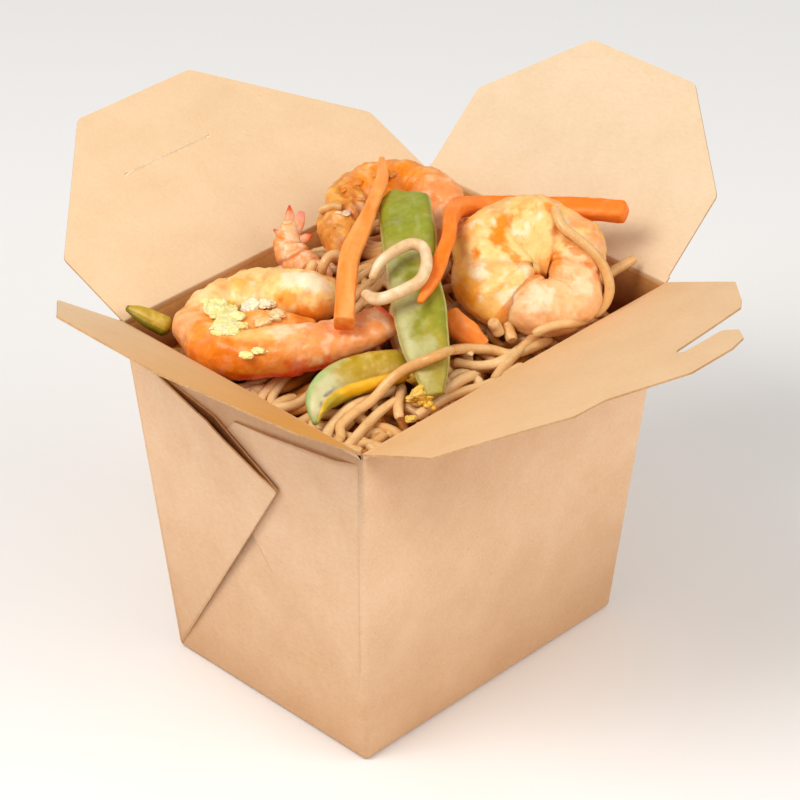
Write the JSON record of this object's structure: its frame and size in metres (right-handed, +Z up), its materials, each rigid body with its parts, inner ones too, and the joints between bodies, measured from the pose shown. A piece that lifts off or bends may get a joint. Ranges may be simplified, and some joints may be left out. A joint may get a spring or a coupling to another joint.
{
  "type": "noodle takeaway box",
  "caption": "Open folding kraft-board takeaway box with four creased flaps, heaped with noodles, curled shrimps and cut vegetables.",
  "frame": {"origin": "centre of the underside of the box's base, on the plane that it stands on", "axes": "+Z up. The front wall, whose flap ends in a hooked tongue, faces -Y, and the lid flap with the slit is at +Y. The walls with the folded gussets face -X and +X."},
  "size_m": [0.1864, 0.1921, 0.1338],
  "materials": {
    "kraft_board": "matt kraft fibre, outer side",
    "kraft_flap": "matt kraft fibre, coated inner side",
    "noodles": "moist, slightly glossy",
    "shrimp": "moist, glossy",
    "carrot": "moist, glossy",
    "pea_pod": "moist, glossy skin",
    "squash": "moist, glossy",
    "bean_sprout": "moist, translucent in life"
  },
  "bodies": {
    "box": {"carton": "kraft_board", "noodle_heap": "noodles", "shrimp_left": "shrimp", "shrimp_right": "shrimp", "shrimp_back": "shrimp", "shrimp_tail": "shrimp", "carrot_center": "carrot", "carrot_bent": "carrot", "carrot_small": "carrot", "pea_pod": "pea_pod", "squash_front": "squash", "squash_corner": "squash", "bean_sprout": "bean_sprout"},
    "rear_flap": {"rear_flap": "kraft_flap"},
    "front_flap": {"front_flap": "kraft_flap"},
    "left_flap": {"left_flap": "kraft_flap"},
    "right_flap": {"right_flap": "kraft_flap"}
  },
  "joints": [
    {"name": "rear_crease", "type": "hinge", "parent": "box", "child": "rear_flap", "pos_m": [0, 0.04215, 0.1], "axis": [-1, 0, 0], "range_deg": [-63, 82]},
    {"name": "front_crease", "type": "hinge", "parent": "box", "child": "front_flap", "pos_m": [0, -0.04215, 0.1], "axis": [1, 0, 0], "range_deg": [-62.5, 82.5]},
    {"name": "left_crease", "type": "hinge", "parent": "box", "child": "left_flap", "pos_m": [-0.0545, 0, 0.1], "axis": [0, -1, 0], "range_deg": [-48.5, 96.5]},
    {"name": "right_crease", "type": "hinge", "parent": "box", "child": "right_flap", "pos_m": [0.0545, 0, 0.1], "axis": [0, 1, 0], "range_deg": [-43, 102]}
  ]
}
